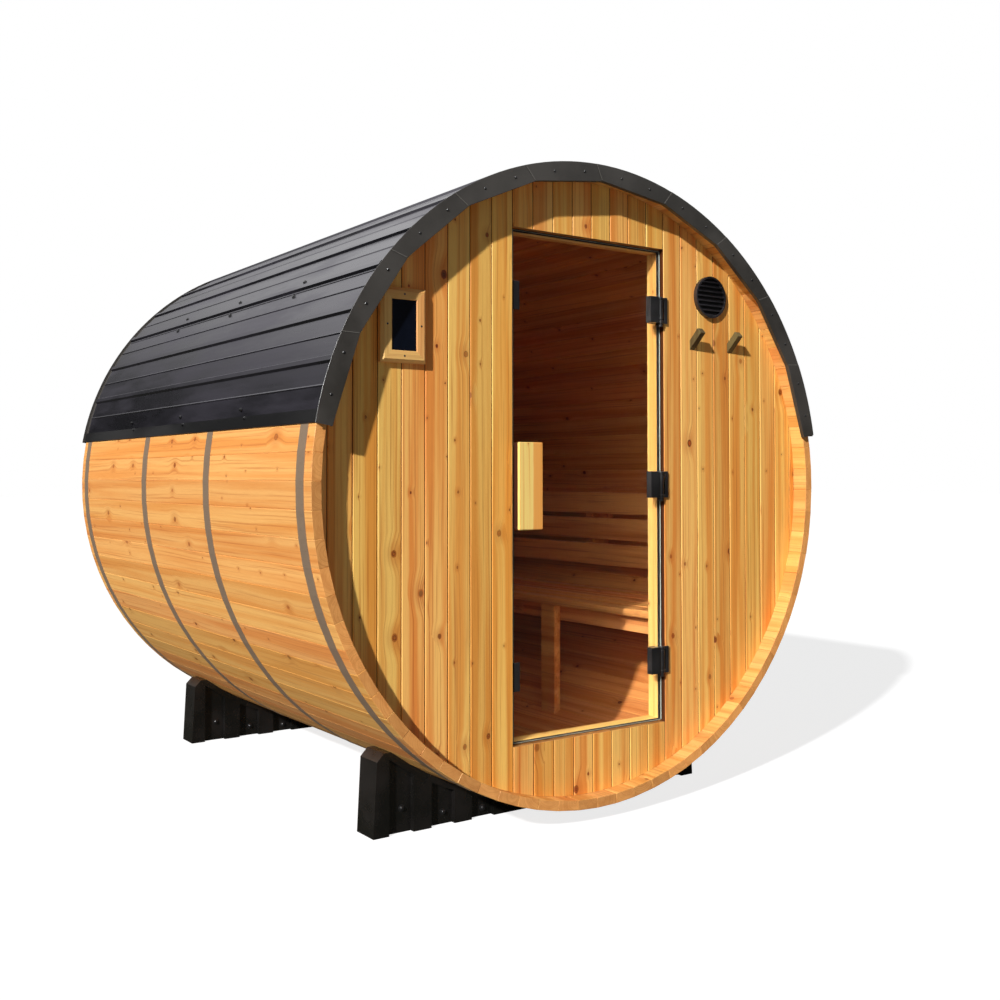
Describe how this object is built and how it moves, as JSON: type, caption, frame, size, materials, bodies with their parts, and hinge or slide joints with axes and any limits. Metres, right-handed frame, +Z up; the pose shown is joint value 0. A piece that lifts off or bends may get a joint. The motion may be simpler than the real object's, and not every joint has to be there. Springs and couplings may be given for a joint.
{
  "type": "barrel sauna",
  "caption": "Barrel sauna: flat staves on two moulded cradles, recessed board walls, hinged glass door, ribbed metal roof over the top and a slatted bench inside.",
  "frame": {"origin": "on the ground, under the middle of the barrel", "axes": "+Z up, -Y out of the front wall with the door, +X to the right seen from the front"},
  "size_m": [2.0636, 2.262, 2.127],
  "materials": {
    "stave": "clear-oiled spruce or cedar, satin",
    "wall_board": "clear-oiled tongue-and-groove boards, satin",
    "lining": "planed softwood, satin",
    "bench_wood": "planed softwood, matt",
    "handle_wood": "sanded softwood, satin",
    "hook_wood": "dark heat-treated wood, matt",
    "frame_wood": "bevelled softwood, satin",
    "strap_steel": "dull stainless strap",
    "roof_steel": "charcoal coated sheet metal, semi-gloss",
    "trim_steel": "black-brown folded trim, semi-gloss",
    "cradle_plastic": "black moulded plastic, satin",
    "hinge_black": "black powder coat",
    "vent_black": "black moulded plastic",
    "seal_rubber": "black rubber",
    "door_glass": "bronze tinted toughened glass, polished edges",
    "display_glass": "dark glass"
  },
  "bodies": {
    "root": {"staves_1": "stave", "staves_2": "stave", "staves_3": "stave", "staves_4": "stave", "staves_5": "stave", "staves_6": "stave", "staves_7": "stave", "staves_8": "stave", "staves_9": "stave", "staves_10": "stave", "strap_front": "strap_steel", "strap_middle_front": "strap_steel", "strap_middle_rear": "strap_steel", "strap_rear": "strap_steel", "front_wall_left": "wall_board", "front_wall_right": "wall_board", "front_wall_over_door": "wall_board", "front_wall_under_door": "wall_board", "rear_wall": "wall_board", "door_lining_left": "lining", "door_lining_right": "lining", "door_lining_head": "lining", "door_lining_sill": "lining", "door_seal": "seal_rubber", "hinge_brackets": "hinge_black", "vent_grille": "vent_black", "wall_hooks": "hook_wood", "display_frame": "frame_wood", "display_glass": "display_glass", "roof_left_lower": "roof_steel", "roof_left_upper": "roof_steel", "roof_right_upper": "roof_steel", "roof_right_lower": "roof_steel", "front_trim": "trim_steel", "rear_trim": "trim_steel", "eave_trim_left": "trim_steel", "eave_trim_right": "trim_steel", "cradle_front": "cradle_plastic", "cradle_rear": "cradle_plastic", "bench_seat": "bench_wood", "bench_frame": "bench_wood", "bench_legs": "bench_wood", "bench_backrest": "bench_wood"},
    "door": {"door_glass": "door_glass", "door_handle_outer": "handle_wood", "door_handle_inner": "handle_wood", "door_catch_plates": "hinge_black", "hinge_clamps": "hinge_black"}
  },
  "joints": [
    {"name": "door_hinge", "type": "hinge", "parent": "root", "child": "door", "pos_m": [0.312, -1.061, 0], "axis": [0, 0, 1], "range_deg": [0, 110]}
  ]
}
